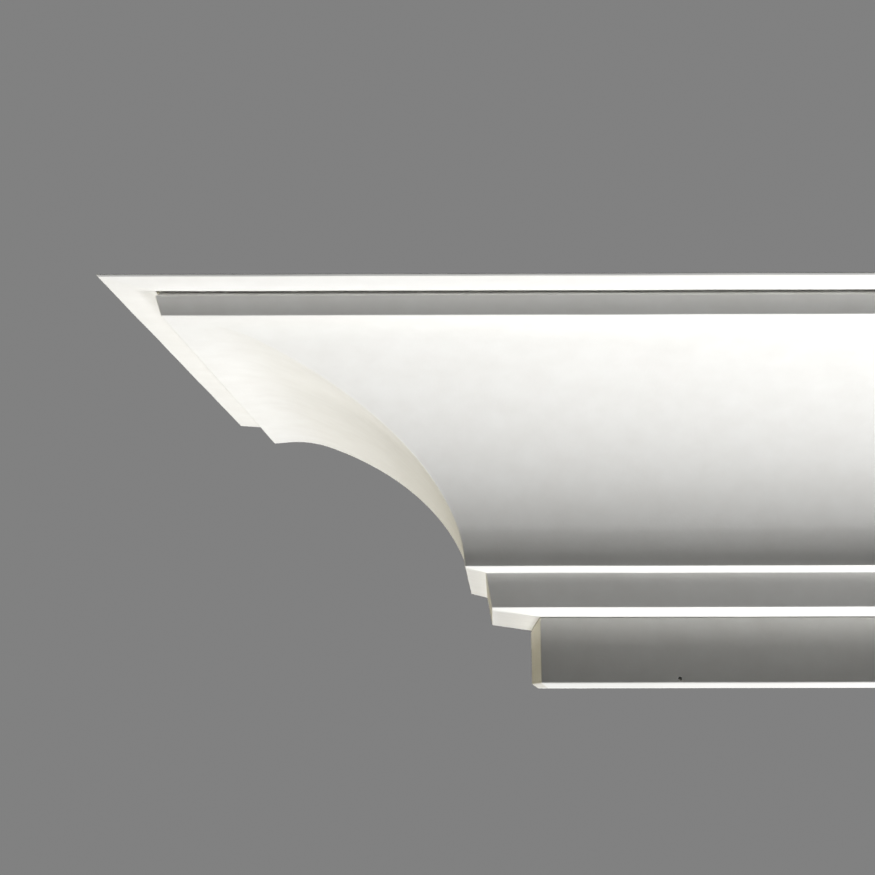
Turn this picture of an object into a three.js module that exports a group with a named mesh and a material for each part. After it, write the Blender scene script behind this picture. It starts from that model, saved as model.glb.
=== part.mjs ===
// Cove cornice moulding with a mitred return round an outside wall corner.
// Cast in one piece of white plaster. Millimetres, +Z up, X along the main run, Y into the wall.
// The origin is the centre of the main run's wall seat.
import * as THREE from 'three';

// Lengths along the ceiling edge, from the outside corner to each square end.
const mainRun = 300;
const returnRun = 288;

// Foot: what stands between the lower fascia and the wall, with a chamfer from the lower arris to the underside.
const footThickness = 23.2;
const footChamferHeight = 2;
const footChamferDepth = 2.8;

// Lower fascia and the soffit over it. A batter is how far a face leans out over its height.
const lowerFasciaHeight = 25.3;
const lowerFasciaBatter = 0.4;
const lowerSoffitWidth = 18.5;
const lowerSoffitRise = 2.7;

// Upper fascia and the narrow soffit under the cove.
const upperFasciaHeight = 13.1;
const upperFasciaBatter = 2.3;
const upperSoffitWidth = 7.7;
const upperSoffitRise = 1.8;

// Upright fillet that the cove springs from.
const coveFilletHeight = 8;
const coveFilletBatter = 0.8;

// Cove: a stretch of an ellipse, between two angles counted from its level axis.
const coveOutRadius = 131.75;
const coveUpRadius = 89.05;
const coveFootAngle = 10;
const coveHeadAngle = 67;
const coveFacets = 48;

// Crown: the flat at the head of the cove, the fillet over it and the soffit along the ceiling.
const crownFlatWidth = 16.8;
const crownFlatFall = 1.3;
const crownFilletHeight = 7.8;
const crownFilletBatter = 2.2;
const crownSoffitWidth = 14.3;
const crownSoffitRise = 0.9;
const crownEdgeHeight = 0.8;
const crownEdgeLean = 0.6;

// Back: the upright seat on the wall, the level seat on the ceiling and the rake between them.
const wallSeatHeight = 57;
const ceilingSeatWidth = 82.5;

// Painted plaster.
const plasterColour = 0xf2f1ec;
const plasterRoughness = 0.75;

// The members stacked from the fascia's foot up to the ceiling, as points (outward, upward).
// Zero outward is the fascia's foot, zero upward is the fascia's lower arris.
function cornerPoints() {
  const points = [];
  let out = 0;
  let up = 0;
  const step = (outward, upward) => {
    out += outward;
    up += upward;
    points.push(new THREE.Vector2(out, up));
  };
  step(0, 0);
  step(lowerFasciaBatter, lowerFasciaHeight);
  step(lowerSoffitWidth, lowerSoffitRise);
  step(upperFasciaBatter, upperFasciaHeight);
  step(upperSoffitWidth, upperSoffitRise);
  step(coveFilletBatter, coveFilletHeight);
  const coveFoot = points.at(-1).clone();
  const coveHead = coveFoot.clone().add(coveReach());
  out = coveHead.x;
  up = coveHead.y;
  step(0, 0);
  step(crownFlatWidth, -crownFlatFall);
  step(crownFilletBatter, crownFilletHeight);
  step(crownSoffitWidth, crownSoffitRise);
  step(crownEdgeLean, crownEdgeHeight);
  return { points, coveFoot };
}

// How far the cove's head lies out and up from its foot.
function coveReach() {
  const foot = THREE.MathUtils.degToRad(coveFootAngle);
  const head = THREE.MathUtils.degToRad(coveHeadAngle);
  return new THREE.Vector2(
    coveOutRadius * (Math.cos(foot) - Math.cos(head)),
    coveUpRadius * (Math.sin(head) - Math.sin(foot)),
  );
}

// The cove from foot to head. The ellipse's centre lies out in the room, and the curve hollows the moulding.
function covePoints(coveFoot) {
  const foot = THREE.MathUtils.degToRad(coveFootAngle);
  const head = THREE.MathUtils.degToRad(coveHeadAngle);
  const centreOut = coveFoot.x + coveOutRadius * Math.cos(foot);
  const centreUp = coveFoot.y - coveUpRadius * Math.sin(foot);
  const arc = new THREE.EllipseCurve(
    centreOut, centreUp, coveOutRadius, coveUpRadius, Math.PI - foot, Math.PI - head, true,
  );
  return arc.getPoints(coveFacets).slice(1, -1);
}

// The closed section, counter-clockwise with the room on its right: underside, face, ceiling seat, rake, wall seat.
function sectionShape() {
  const { points, coveFoot } = cornerPoints();
  const footIndex = points.findIndex((point) => point.equals(coveFoot));
  const face = [
    ...points.slice(0, footIndex + 1),
    ...covePoints(coveFoot),
    ...points.slice(footIndex + 1),
  ];
  const crown = points.at(-1);
  const wallFoot = new THREE.Vector2(-footThickness, -footChamferHeight);
  const back = [
    new THREE.Vector2(crown.x - ceilingSeatWidth, crown.y),
    new THREE.Vector2(-footThickness, wallFoot.y + wallSeatHeight),
    wallFoot,
    new THREE.Vector2(-footChamferDepth, -footChamferHeight),
  ];
  return { shape: new THREE.Shape([...face, ...back]), crown, wallFoot };
}

// The section carried from the main run's square end to the mitre and on to the return's square end.
// A straight extrusion with one ring of points at each of the three places is bent round the corner.
function corniceGeometry() {
  const { shape, crown, wallFoot } = sectionShape();
  const geometry = new THREE.ExtrudeGeometry(shape, { depth: 2, steps: 2, bevelEnabled: false });
  const mainEnd = mainRun - crown.x;
  const returnEnd = returnRun - crown.x;
  const seatCentreX = (footThickness + mainEnd) / 2;
  const seatCentreZ = wallFoot.y + wallSeatHeight / 2;
  const position = geometry.getAttribute('position');
  for (let i = 0; i < position.count; i += 1) {
    const out = position.getX(i);
    const up = position.getY(i);
    const ring = Math.round(position.getZ(i));
    const x = ring === 0 ? mainEnd : -out;
    const y = ring === 2 ? returnEnd : -out;
    position.setXYZ(i, x - seatCentreX, y - footThickness, up - seatCentreZ);
  }
  geometry.computeVertexNormals();
  return geometry;
}

const plaster = new THREE.MeshStandardMaterial({
  name: 'painted_plaster',
  color: plasterColour,
  roughness: plasterRoughness,
  metalness: 0,
});

const cornice = new THREE.Mesh(corniceGeometry(), plaster);
cornice.name = 'cornice_moulding';

const group = new THREE.Group();
group.name = 'cornice';
group.add(cornice);

export default group;
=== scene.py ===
import math

import bpy
import numpy as np
from mathutils import Matrix, Vector


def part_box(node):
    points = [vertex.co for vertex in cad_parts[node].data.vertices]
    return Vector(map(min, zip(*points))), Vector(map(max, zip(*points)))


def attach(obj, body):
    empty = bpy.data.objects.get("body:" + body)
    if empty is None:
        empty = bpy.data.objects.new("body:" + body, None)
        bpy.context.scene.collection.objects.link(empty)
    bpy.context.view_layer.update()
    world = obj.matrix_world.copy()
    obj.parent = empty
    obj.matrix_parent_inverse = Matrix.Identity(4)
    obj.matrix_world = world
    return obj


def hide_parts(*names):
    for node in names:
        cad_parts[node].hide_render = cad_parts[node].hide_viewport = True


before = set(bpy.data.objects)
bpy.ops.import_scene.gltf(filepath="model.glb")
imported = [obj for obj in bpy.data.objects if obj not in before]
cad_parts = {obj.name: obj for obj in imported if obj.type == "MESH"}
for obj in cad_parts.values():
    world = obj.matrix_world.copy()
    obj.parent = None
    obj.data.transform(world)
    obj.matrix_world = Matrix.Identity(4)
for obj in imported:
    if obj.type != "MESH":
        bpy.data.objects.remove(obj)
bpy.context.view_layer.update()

MM = 0.001

# The members of the section as (outward, upward) steps in millimetres, from the foot of the lower fascia.
LOWER_FASCIA = (0.4, 25.3)
LOWER_SOFFIT = (18.5, 2.7)
UPPER_FASCIA = (2.3, 13.1)
UPPER_SOFFIT = (7.7, 1.8)
COVE_FILLET = (0.8, 8.0)
COVE_RADII = (131.75, 89.05)
COVE_ANGLES = (10.0, 67.0)
CROWN_FLAT = (16.8, -1.3)
CROWN_FILLET = (2.2, 7.8)
CROWN_SOFFIT = (14.3, 0.9)
CROWN_EDGE = (0.6, 0.8)

# The back of the section.
FOOT_THICKNESS = 23.2
FOOT_CHAMFER = (2.8, 2.0)
WALL_SEAT_HEIGHT = 57.0
CEILING_SEAT_WIDTH = 82.5

# Quirks, the thin shadow grooves where a face meets the soffit over it, as (depth, height).
LOWER_QUIRK = (0.4, 0.8)
CROWN_QUIRK = (1.8, 1.5)

# How far the cast has softened each corner, as the radius of its arris in millimetres. The last two are the
# mitre's, on the painted face and on the bare back.
ARRIS_SOFT = 0.9
ARRIS_CRISP = 0.5
ARRIS_LIP = 0.2
ARRIS_BACK = 1.2
INNER_CORNER = 0.6
QUIRK_CORNER = 0.3
MITRE_ARRIS = 0.5
MITRE_BACK = 0.1

# The mitre's arris turns from facing out of the main run (270 degrees) to facing out of the return (180).
MITRE_TURN = (247.5, 225.0, 202.5)

# An arris takes up no more than this share of either edge beside it.
ARRIS_SHARE = 0.45

# The cove springs from its fillet and runs into the crown's flat with no edge, over this much of each.
FOOT_EASE = 5.0
HEAD_EASE = 9.0

# Longest step between points, in millimetres: down the face, the back, along each run, at the pinhole.
FACE_STEP = 1.5
BACK_STEP = 5.0
RUN_STEP = 3.0
FINE_STEP = 0.12

# Extra points stand this close to the ends of a long edge, and extra rings this close to the ends of a run.
EDGE_STEP = 0.25
END_STEPS = (EDGE_STEP, 1.2, 2.4)

# A point this close to a face lies on it. The ceiling seat has a thin lip beside it, so it asks for less.
ON_FACE = 1.0
ON_CEILING_SEAT = 0.1

# The pinhole that an air bubble left low on the lower fascia, and a faint dent in the cove's lower half.
# Each is (distance along the main run from the lower fascia's corner, height over its foot, radius, depth).
# The power shapes both: 0.5 would be half a ball, and over 1 the rim is soft.
PINHOLE = (53.6, 1.55, 0.85, 1.6)
DENT = (84.3, 78.6, 2.6, 0.05)
BOWL_POWER = 1.5

# Fine points and rings reach this many radii from the pinhole's middle, up the fascia and along the run.
FINE_UP = 1.4
FINE_ALONG = 1.6

# Two waves of the cast, each as the millimetres to a radian: along the run, and up or out of the section.
# The short wave starts this many radians on, and its height is this share of the long one's.
LONG_WAVE = (17.0, 31.0)
SHORT_WAVE = (9.3, 23.0)
SHORT_WAVE_START = 1.7
SHORT_WAVE_SHARE = 0.7

# The depth in millimetres that the waves are multiplied by.
WAVE_DEPTH = 0.04

# The scores of the saw on the square ends lean from the level by this many degrees.
SAW_SLANT = 28

# The mix node has its own sockets for colours.
MIX_FROM, MIX_TO, MIX_RESULT = 6, 7, 2

# A plain round floor, in metres, well below the piece.
FLOOR_LEVEL = -1.3
FLOOR_RADIUS = 10.0
FLOOR_SIDES = 64

# A sun lamp shines the same wherever it stands.
SUN_AT = Vector((0, 0, 2))

# The camera looks up a little, from just under the level of the foot. Metres, degrees and millimetres.
CAMERA_AT = (-0.10867, -0.65112, -0.02875)
CAMERA_YAW = -0.133
CAMERA_PITCH = 8.895
CAMERA_ROLL = -0.114
CAMERA_LENS = 66.15
CAMERA_SENSOR = 36.0
CAMERA_SHIFT = -0.06
CAMERA_REACH = (0.01, 100.0)


def linear(hex_colour):
    """An sRGB hex colour as linear red, green, blue and alpha."""
    parts = [int(hex_colour[i:i + 2], 16) / 255 for i in (1, 3, 5)]
    return (*[c / 12.92 if c <= 0.04045 else ((c + 0.055) / 1.055) ** 2.4 for c in parts], 1.0)


def new_object(name, data):
    """A mesh, lamp or camera as an object in the scene."""
    thing = bpy.data.objects.new(name, data)
    bpy.context.scene.collection.objects.link(thing)
    return thing


def cove_curve(foot, count=64):
    """The cove from its foot to its head: a stretch of an ellipse whose centre lies out in the room."""
    start, end = np.radians(COVE_ANGLES)
    angle = np.linspace(start, end, count)
    out = foot[0] + COVE_RADII[0] * (np.cos(start) - np.cos(angle))
    up = foot[1] + COVE_RADII[1] * (np.sin(angle) - np.sin(start))
    return np.column_stack([out, up])


def bend(start, corner, end, count):
    """Points on a parabola from start to end, aimed at the corner from both."""
    share = np.linspace(0, 1, count)[:, None]
    return (1 - share) ** 2 * start + 2 * share * (1 - share) * corner + share ** 2 * end


def along_edge(corner, point, reach):
    """The point this far from a corner on the edge towards another point."""
    edge = point - corner
    return corner + edge / np.linalg.norm(edge) * reach


def eased_cove(cove, fillet_foot, flat_end, count=10):
    """The cove with both ends eased: a parabola from the fillet below it, and one on to the flat above."""
    foot, head = cove[0], cove[-1]
    from_foot = np.linalg.norm(cove - foot, axis=1)
    from_head = np.linalg.norm(cove - head, axis=1)
    kept = cove[(from_foot > FOOT_EASE) & (from_head > HEAD_EASE)]
    return np.vstack([
        bend(along_edge(foot, fillet_foot, FOOT_EASE), foot, kept[0], count),
        kept[1:-1],
        bend(kept[-1], head, along_edge(head, flat_end, HEAD_EASE), count),
    ])


def quirk(below, corner, beyond, size):
    """The two corners of a V-shaped quirk: its mouth on the face, its root on the soffit's line inside."""
    depth, height = size
    down, inward = below - corner, corner - beyond
    return np.array([
        corner + down / np.linalg.norm(down) * height,
        corner + inward / np.linalg.norm(inward) * depth,
    ])


def section_corners():
    """The section's points in order round it, with the radius of each arris, and the crown's edge.

    The corners are running sums of the members' steps. The cove's points need no arris.
    """
    lower = np.cumsum([(0.0, 0.0), LOWER_FASCIA, LOWER_SOFFIT, UPPER_FASCIA, UPPER_SOFFIT], axis=0)
    cove = cove_curve(lower[-1] + COVE_FILLET)
    upper = cove[-1] + np.cumsum([CROWN_FLAT, CROWN_FILLET, CROWN_SOFFIT, CROWN_EDGE], axis=0)
    cove = eased_cove(cove, lower[-1], upper[0])
    crown = upper[-1]
    underside = -FOOT_CHAMFER[1]
    back = np.array([
        (crown[0] - CEILING_SEAT_WIDTH, crown[1]),
        (-FOOT_THICKNESS, underside + WALL_SEAT_HEIGHT),
        (-FOOT_THICKNESS, underside),
        (-FOOT_CHAMFER[0], underside),
    ])
    points = np.vstack([
        lower[:1], quirk(*lower[:3], LOWER_QUIRK), lower[2:],
        cove,
        upper[:1], quirk(*upper[:3], CROWN_QUIRK), upper[2:],
        back,
    ])
    radii = np.concatenate([
        [ARRIS_SOFT, QUIRK_CORNER, QUIRK_CORNER, ARRIS_CRISP, INNER_CORNER, ARRIS_CRISP],
        np.zeros(len(cove)),
        [ARRIS_CRISP, QUIRK_CORNER, QUIRK_CORNER, ARRIS_LIP, ARRIS_LIP],
        [ARRIS_BACK, ARRIS_BACK, ARRIS_SOFT, ARRIS_SOFT],
    ])
    return points, radii, crown


def round_corner(before, corner, after, radius, count=6):
    """Points on a curve that touches both edges of a corner where an arc of the given radius would."""
    if radius <= 0:
        return corner[None, :]
    a, b = before - corner, after - corner
    length_a, length_b = np.linalg.norm(a), np.linalg.norm(b)
    a, b = a / length_a, b / length_b
    half = math.acos(np.clip(a @ b, -1, 1)) / 2
    reach = min(radius / math.tan(half), ARRIS_SHARE * length_a, ARRIS_SHARE * length_b)
    return bend(corner + a * reach, corner, corner + b * reach, count)


def near_pinhole(heights):
    """True for heights over the foot that the pinhole spans."""
    return np.abs(heights - PINHOLE[1]) < FINE_UP * PINHOLE[2]


def stepped(points, longest):
    """A closed line with extra points, so that no step is longer than its limit.

    Long edges also have a point close to each end. Low on the face, where the pinhole lies, the points
    stand as close as the fine step.
    """
    pieces = []
    for start, end, limit in zip(points, np.roll(points, -1, axis=0), longest):
        length = np.linalg.norm(end - start)
        count = max(1, math.ceil(length / limit))
        share = np.arange(count) / count
        if length > 2 * FACE_STEP:
            fine = np.arange(0, 1, FINE_STEP / length)
            on_face = (abs(end[0]) < ON_FACE) & near_pinhole(start[1] + fine * (end[1] - start[1]))
            near_ends = [EDGE_STEP / length, 1 - EDGE_STEP / length]
            share = np.unique(np.concatenate([share, near_ends, fine[on_face]]))
        pieces.append(start + (end - start) * share[:, None])
    return np.vstack(pieces)


def section_line():
    """The closed section with softened arrises, evenly stepped, and the crown's edge."""
    points, radii, crown = section_corners()
    before, after = np.roll(points, 1, axis=0), np.roll(points, -1, axis=0)
    line = np.vstack([round_corner(*corner) for corner in zip(before, points, after, radii)])
    on_back = is_back(line, crown) & is_back(np.roll(line, -1, axis=0), crown)
    return stepped(line, np.where(on_back, BACK_STEP, FACE_STEP)), crown


def is_back(line, crown):
    """True for points of the wall seat, the ceiling seat and the rake between them."""
    seat_edge = np.array([crown[0] - CEILING_SEAT_WIDTH, crown[1]])
    shoulder = np.array([-FOOT_THICKNESS, WALL_SEAT_HEIGHT - FOOT_CHAMFER[1]])
    rake = (shoulder - seat_edge) / np.linalg.norm(shoulder - seat_edge)
    from_rake = (line - seat_edge) @ np.array([rake[1], -rake[0]])
    on_wall_seat = line[:, 0] < ON_FACE - FOOT_THICKNESS
    on_ceiling_seat = line[:, 1] > crown[1] - ON_CEILING_SEAT
    return on_wall_seat | on_ceiling_seat | (np.abs(from_rake) < ON_FACE)


def inward_normals(section):
    """The unit direction into the plaster at each point: the line's own direction turned left."""
    along = np.roll(section, -1, axis=0) - np.roll(section, 1, axis=0)
    along /= np.linalg.norm(along, axis=1)[:, None]
    return np.column_stack([-along[:, 1], along[:, 0]])


def run_shares(length, extra=()):
    """Shares of a run from the mitre to its square end, closer at both ends, and at any extra distances."""
    even = np.linspace(0, 1, math.ceil(length / RUN_STEP) + 1)
    ends = np.array(END_STEPS) / length
    return np.unique(np.concatenate([even, ends, 1 - ends, np.asarray(extra) / length]))


def cast_waves(reach, out, up):
    """How deep the cast's waves are: a long sine wave along the run plus a lower, shorter one.

    The first drifts up the section and the second out of it. Their sum is raised so that it is never below
    zero, because the waves only press inwards.
    """
    long = np.sin(reach / LONG_WAVE[0] + up / LONG_WAVE[1])
    short = np.sin(reach / SHORT_WAVE[0] - out / SHORT_WAVE[1] + SHORT_WAVE_START)
    return WAVE_DEPTH * (1 + SHORT_WAVE_SHARE + (long + SHORT_WAVE_SHARE * short))


def pits(reach, up):
    """The pinhole and the dent: round bowls.

    The depth is the deepest times the power BOWL_POWER of one minus the squared distance in radii.
    """
    depth = 0
    for at, height, radius, deepest in (PINHOLE, DENT):
        bowl = 1 - ((reach - at) ** 2 + (up - height) ** 2) / radius ** 2
        depth = depth + deepest * np.clip(bowl, 0, 1) ** BOWL_POWER
    return depth


def cornice_surface():
    """The section carried along the plan: the main run, the mitre's small arris and the return.

    Each point keeps its outward and upward place, pressed in by the waves and pits of the cast. Its plan
    line runs parallel to the walls at that distance, and turns the corner on an arc of the arris radius.
    Returns the rings of points and which of the section's points are painted.
    """
    section, crown = section_line()
    low, high = [np.array(corner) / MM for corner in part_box("cornice_moulding")]
    corner_x, corner_y = low[0] + crown[0], low[1] + crown[0]
    main_length, back_length = high[0] - corner_x, high[1] - corner_y
    foot_z = low[2] + FOOT_CHAMFER[1]
    out, up = section[:, 0][None, :], section[:, 1][None, :]
    normal = inward_normals(section)
    painted = ~is_back(section, crown)
    radius = np.where(painted, MITRE_ARRIS, MITRE_BACK)[None, :]

    fine_reach = FINE_ALONG * PINHOLE[2]
    fine_steps = PINHOLE[0] + np.arange(-fine_reach, fine_reach, FINE_STEP)
    main = run_shares(main_length, fine_steps)[::-1][:, None]
    back = run_shares(back_length)[:, None]
    turn = np.radians(MITRE_TURN)[:, None]

    def reach(share, length, outward):
        """How far a point lies from the fascia's corner along its run."""
        return radius - outward + share * (length + outward - radius)

    def pressed(share, length, with_pits=False):
        """The outward and upward places, pressed into the plaster by the cast's own unevenness."""
        distance = reach(share, length, out)
        depth = cast_waves(distance, out, up) + (pits(distance, up) if with_pits else 0)
        depth = np.where(painted, depth, 0)
        return out + normal[:, 0] * depth, up + normal[:, 1] * depth

    main_out, main_up = pressed(main, main_length, with_pits=True)
    turn_out, turn_up = pressed(0 * turn, back_length)
    back_out, back_up = pressed(back, back_length)
    x = np.vstack([
        corner_x + reach(main, main_length, main_out),
        corner_x - turn_out + radius + radius * np.cos(turn),
        corner_x - back_out,
    ])
    y = np.vstack([
        corner_y - main_out,
        corner_y - turn_out + radius + radius * np.sin(turn),
        corner_y + reach(back, back_length, back_out),
    ])
    z = foot_z + np.vstack([main_up, turn_up, back_up])
    return np.stack([x, y, z], axis=-1) * MM, painted


def closed_sweep(name, rings, painted):
    """A mesh from rings of points: quads between rings and a flat face over each end, all facing outwards.

    Material 0 is the painted face, 1 the struck back and 2 the sawn ends. The map called run holds metres
    along the sweep and round the section, and on the ends metres across and up.
    """
    count, around, _ = rings.shape
    index = np.arange(count * around).reshape(count, around)
    after = np.roll(index, -1, axis=1)
    quads = np.stack([index[:-1], after[:-1], after[1:], index[1:]], axis=-1).reshape(-1, 4)
    faces = [*quads.tolist(), index[0][::-1].tolist(), index[-1].tolist()]
    mesh = bpy.data.meshes.new(name)
    mesh.from_pydata(rings.reshape(-1, 3).tolist(), [], faces)

    bare = ~(painted | np.roll(painted, -1))
    finish = np.concatenate([np.tile(bare, count - 1), [2, 2]]).astype(np.int32)
    mesh.polygons.foreach_set("material_index", finish)
    mesh.polygons.foreach_set("use_smooth", finish != 2)

    middle = rings[:, around // 2]
    along = np.concatenate([[0], np.cumsum(np.linalg.norm(np.diff(middle, axis=0), axis=1))])
    steps = np.linalg.norm(np.roll(rings[0], -1, axis=0) - rings[0], axis=1)
    across = np.concatenate([[0], np.cumsum(steps)])
    u = np.stack([along[:-1], along[:-1], along[1:], along[1:]], axis=-1)[:, None, :]
    v = np.stack([across[:-1], across[1:], across[1:], across[:-1]], axis=-1)[None, :, :]
    sides = np.stack(np.broadcast_arrays(u, v), axis=-1).reshape(-1, 2)
    run_map = mesh.uv_layers.new(name="run")
    run_map.data.foreach_set("uv", np.vstack([sides, rings[0][::-1, 1:], rings[-1][:, [0, 2]]]).ravel())
    mesh.update()
    return new_object(name, mesh)


def add_node(tree, kind, inputs=None, **settings):
    """Adds a node, sets its properties, and gives its inputs values or links."""
    node = tree.nodes.new(kind)
    for key, value in settings.items():
        setattr(node, key, value)
    for key, value in (inputs or {}).items():
        if isinstance(value, bpy.types.NodeSocket):
            tree.links.new(value, node.inputs[key])
        else:
            node.inputs[key].default_value = value
    return node


def new_material(name):
    """An empty node material and its tree."""
    material = bpy.data.materials.new(name)
    material.use_nodes = True
    material.node_tree.nodes.clear()
    return material, material.node_tree


def per_metre(millimetres):
    """The scale of a noise or cell pattern whose features are about this wide."""
    return 1 / (millimetres * MM)


def object_place(tree):
    """The place on the object, in metres."""
    return add_node(tree, "ShaderNodeTexCoord").outputs["Object"]


def run_place(tree):
    """The place on the map called run, in metres."""
    return add_node(tree, "ShaderNodeUVMap", uv_map="run").outputs["UV"]


def noise(tree, place, scale, detail, roughness=0.5):
    """Soft noise from 0 to 1."""
    inputs = {"Vector": place, "Scale": scale, "Detail": detail, "Roughness": roughness}
    return add_node(tree, "ShaderNodeTexNoise", inputs).outputs["Fac"]


def streaks(tree, place, long, wide, detail):
    """Noise stretched into marks this long and this wide, in millimetres."""
    scale = (per_metre(long), per_metre(wide), 1)
    stretch = add_node(tree, "ShaderNodeMapping", {"Vector": place, "Scale": scale})
    return noise(tree, stretch.outputs[0], 1.0, detail)


def two_tones(tree, factor, first, second):
    """A colour that goes from one tone to another. Each is a hex value or the colour of another node."""
    first, second = [linear(tone) if isinstance(tone, str) else tone for tone in (first, second)]
    inputs = {"Factor": factor, MIX_FROM: first, MIX_TO: second}
    return add_node(tree, "ShaderNodeMix", inputs, data_type="RGBA").outputs[MIX_RESULT]


def relief(tree, height, strength, depth, invert=False, under=None):
    """Raises a pattern by this many millimetres, or sinks it if inverted, on top of the relief under it."""
    inputs = {"Height": height, "Strength": strength, "Distance": depth * MM}
    if under is not None:
        inputs["Normal"] = under
    return add_node(tree, "ShaderNodeBump", inputs, invert=invert).outputs["Normal"]


def matt_surface(tree, colour, normal, roughness):
    """Gypsum or flat paint: no metal, an ordinary gloss index, and light scattered nearly evenly."""
    shader = add_node(tree, "ShaderNodeBsdfPrincipled", {
        "Base Color": colour,
        "Roughness": roughness,
        "IOR": 1.5,
        "Specular IOR Level": 0.3,
        "Normal": normal,
    })
    add_node(tree, "ShaderNodeOutputMaterial", {"Surface": shader.outputs["BSDF"]})


def primed_plaster():
    """Gypsum plaster cast in a mould and brushed with flat white primer, as a new cornice is sold.

    The coat is chalky and almost even: two close whites drift over patches a centimetre wide, the brush
    leaves faint ridges along the run, and a grain like eggshell takes the edge off the light.
    """
    material, tree = new_material("primed_plaster")
    place = object_place(tree)
    patches = noise(tree, place, per_metre(11), 4.0, 0.55)
    ridges = streaks(tree, run_place(tree), 38, 0.9, 3.0)
    # Real primer grain is about 0.2 mm, too fine to show, so it is drawn at 0.9 mm.
    grain = noise(tree, place, per_metre(0.9), 3.0)
    brushed = relief(tree, ridges, 0.12, 0.1)
    grained = relief(tree, grain, 0.3, 0.1, under=brushed)
    # Primed white.
    matt_surface(tree, two_tones(tree, patches, "#f0efec", "#f9f9f7"), grained, 0.75)
    return material


def struck_plaster():
    """Bare gypsum plaster on the seats and the rake, struck off with a straightedge while it was wet.

    It is creamier and more open than the painted face: drag lines run with the moulding, trapped air leaves
    round pits a millimetre or two across, darkened with painted shade, and the surface is dead matt.
    """
    material, tree = new_material("struck_plaster")
    place = object_place(tree)
    patches = noise(tree, place, per_metre(24), 5.0)
    cells = add_node(tree, "ShaderNodeTexVoronoi", {"Vector": place, "Scale": per_metre(13)})
    # A pit's floor and its rim are these two shares of a cell from its middle.
    pit = add_node(tree, "ShaderNodeMapRange", {
        "Value": cells.outputs["Distance"],
        "From Min": 0.02,
        "From Max": 0.09,
        "To Min": 1.0,
        "To Max": 0.0,
    }).outputs[0]
    # Dry gypsum, and the painted shade that darkens each pit.
    ground = two_tones(tree, patches, "#e8e5de", "#f3f1eb")
    colour = two_tones(tree, pit, ground, "#c9c4b9")
    drag = streaks(tree, run_place(tree), 70, 1.6, 3.0)
    dragged = relief(tree, drag, 0.5, 0.5)
    pitted = relief(tree, pit, 0.8, 0.6, invert=True, under=dragged)
    matt_surface(tree, colour, pitted, 0.9)
    return material


def sawn_plaster():
    """Bare gypsum plaster where the length was sawn square.

    A hand saw held at a slant leaves uneven shallow scores with ridges between them, and painted shade makes
    the scores darker than the ridges.
    """
    material, tree = new_material("sawn_plaster")
    turn = (0, 0, math.radians(SAW_SLANT))
    lean = add_node(tree, "ShaderNodeMapping", {"Vector": run_place(tree), "Rotation": turn})
    scores = streaks(tree, lean.outputs[0], 45, 2.2, 4.0)
    # Dry gypsum, with painted shade darker in the scores.
    colour = two_tones(tree, scores, "#e8e5de", "#f2f0ea")
    matt_surface(tree, colour, relief(tree, scores, 0.4, 0.5), 0.9)
    return material


def floor_paint():
    """Matt pale grey paint on a studio floor, rolled on evenly."""
    material, tree = new_material("floor_paint")
    stipple = noise(tree, object_place(tree), per_metre(4), 2.0)
    # Pale grey emulsion.
    colour = two_tones(tree, stipple, "#e6e6e3", "#ececea")
    matt_surface(tree, colour, relief(tree, stipple, 0.1, 0.5), 0.9)
    return material


def make_floor():
    """A plain round floor below the piece. It neither lights the piece nor stops light from below."""
    angle = np.linspace(0, 2 * np.pi, FLOOR_SIDES, endpoint=False)
    level = np.full(FLOOR_SIDES, FLOOR_LEVEL)
    ring = np.column_stack([FLOOR_RADIUS * np.cos(angle), FLOOR_RADIUS * np.sin(angle), level])
    mesh = bpy.data.meshes.new("floor")
    mesh.from_pydata(ring.tolist(), [], [list(range(FLOOR_SIDES))])
    floor = new_object("floor", mesh)
    mesh.materials.append(floor_paint())
    floor.visible_diffuse = False
    floor.visible_glossy = False
    floor.visible_shadow = False


def aim(thing, at, target):
    """Places a lamp and turns it towards a point."""
    thing.location = at
    thing.rotation_mode = "QUATERNION"
    thing.rotation_quaternion = (Vector(target) - Vector(at)).to_track_quat("-Z", "Y")


def area_lamp(name, at, target, size, power, colour):
    """A soft square lamp that the camera doesn't see."""
    data = bpy.data.lights.new(name, "AREA")
    data.shape = "SQUARE"
    data.size = size
    data.energy = power
    data.color = linear(colour)[:3]
    lamp = new_object(name, data)
    aim(lamp, at, target)
    lamp.visible_camera = False


def sun_lamp(name, direction, spread, strength, colour):
    """A broad even light that falls in one direction everywhere."""
    data = bpy.data.lights.new(name, "SUN")
    data.angle = math.radians(spread)
    data.energy = strength
    data.color = linear(colour)[:3]
    aim(new_object(name, data), SUN_AT, SUN_AT + Vector(direction))


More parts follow.
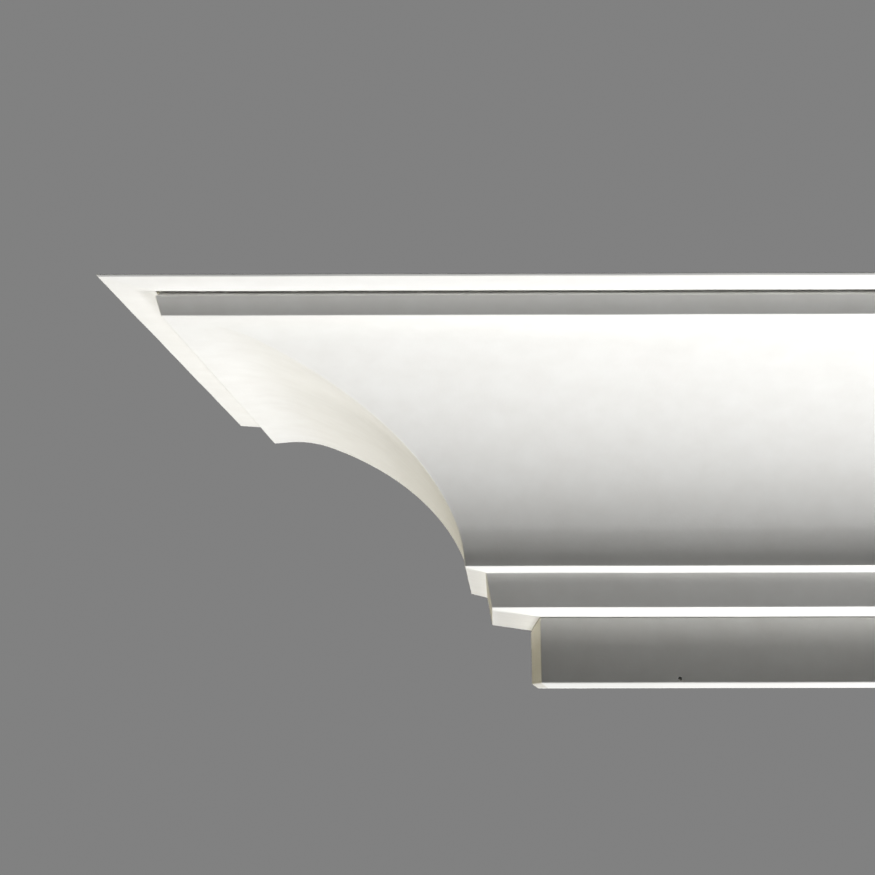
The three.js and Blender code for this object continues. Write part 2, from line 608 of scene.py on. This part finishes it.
def studio_world(seen):
    """A plain grey surround behind the piece, which sheds no light on it: the lamps do that alone."""
    world = bpy.data.worlds.new("studio")
    bpy.context.scene.world = world
    world.use_nodes = True
    tree = world.node_tree
    tree.nodes.clear()
    ray = add_node(tree, "ShaderNodeLightPath").outputs["Is Camera Ray"]
    backdrop = add_node(tree, "ShaderNodeBackground", {"Color": linear(seen), "Strength": ray})
    add_node(tree, "ShaderNodeOutputWorld", {"Surface": backdrop.outputs[0]})


def make_camera():
    """The camera at the photograph's viewing angle: turned, tipped up and rolled, in that order."""
    data = bpy.data.cameras.new("camera")
    data.lens = CAMERA_LENS
    data.sensor_width = CAMERA_SENSOR
    data.shift_x = CAMERA_SHIFT
    data.clip_start, data.clip_end = CAMERA_REACH
    camera = new_object("camera", data)
    turn = Matrix.Rotation(math.radians(-CAMERA_YAW), 4, "Z")
    tip = Matrix.Rotation(math.radians(90 + CAMERA_PITCH), 4, "X")
    roll = Matrix.Rotation(math.radians(CAMERA_ROLL), 4, "Z")
    camera.matrix_world = Matrix.Translation(CAMERA_AT) @ turn @ tip @ roll
    bpy.context.scene.camera = camera


cornice = closed_sweep("cornice_cast", *cornice_surface())
for finish in (primed_plaster(), struck_plaster(), sawn_plaster()):
    cornice.data.materials.append(finish)
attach(cornice, "root")
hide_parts("cornice_moulding")

make_camera()
make_floor()
# Plain grey backdrop.
studio_world("#7e7e7e")

# A sun lamp has its direction, its spread in degrees and its strength. An area lamp has its place, the point
# that it is aimed at, its side in metres and its watts. All are white, and the return's is a warm white.
sun_lamp("light_from_below", (0.0, 0.0, 1.0), 15.0, 1.62, "#ffffff")
area_lamp("low_right_lamp", (0.3, -0.06, -0.5), (0.0, -0.05, 0.03), 0.2, 1.45, "#ffffff")
area_lamp("return_lamp", (-1.2, 0.2, -0.1), (-0.2, 0.0, 0.05), 0.6, 2.6, "#fff5d4")
area_lamp("back_lamp", (0.9, 1.2, 0.7), (0.0, 0.0, 0.0), 0.8, 16.5, "#ffffff")
sun_lamp("light_from_above", (0.0, 0.0, -1.0), 50.0, 1.35, "#ffffff")

bpy.context.scene.view_settings.view_transform = "Standard"
bpy.context.scene.view_settings.look = "High Contrast"
